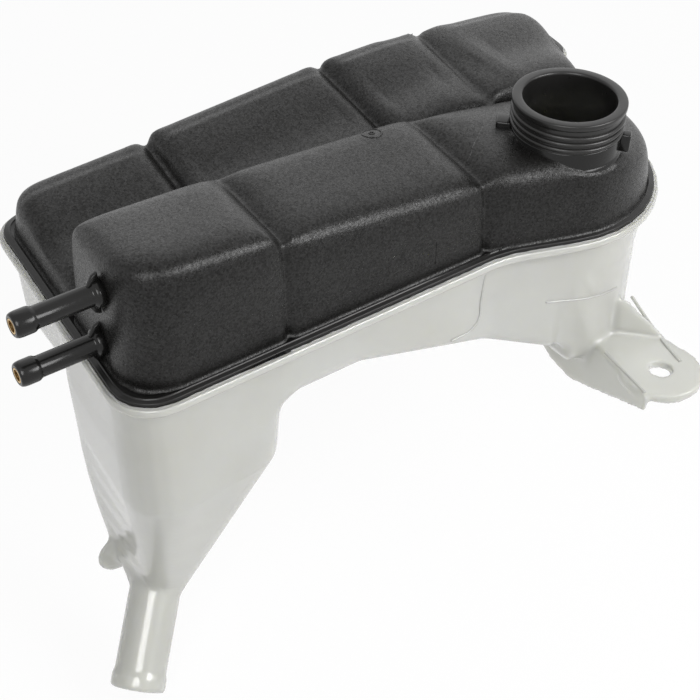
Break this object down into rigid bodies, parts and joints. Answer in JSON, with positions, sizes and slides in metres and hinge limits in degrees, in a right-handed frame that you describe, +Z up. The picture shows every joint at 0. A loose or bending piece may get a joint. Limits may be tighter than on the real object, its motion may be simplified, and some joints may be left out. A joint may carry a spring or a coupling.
{
  "type": "coolant expansion tank",
  "caption": "Welded two-shell coolant expansion tank: black pillowed top with a screw neck and hose spigots, translucent lower shell with a funnel sump, slanted outlet and bolt bracket.",
  "frame": {"origin": "centre of the filler neck's rim, in the plane of its top face", "axes": "+Z up along the neck's axis, +X right along the tank's straight front edge, away from the hose spigots, +Y towards the back of the tank"},
  "size_m": [0.374, 0.2145, 0.2578],
  "materials": {
    "black_shell": "grained black moulding",
    "milky_shell": "translucent milky moulding",
    "brass": "bright"
  },
  "bodies": {
    "root": {"upper_shell": "black_shell", "lower_shell": "milky_shell", "upper_vent_sleeve": "brass", "lower_vent_sleeve": "brass"}
  },
  "joints": []
}
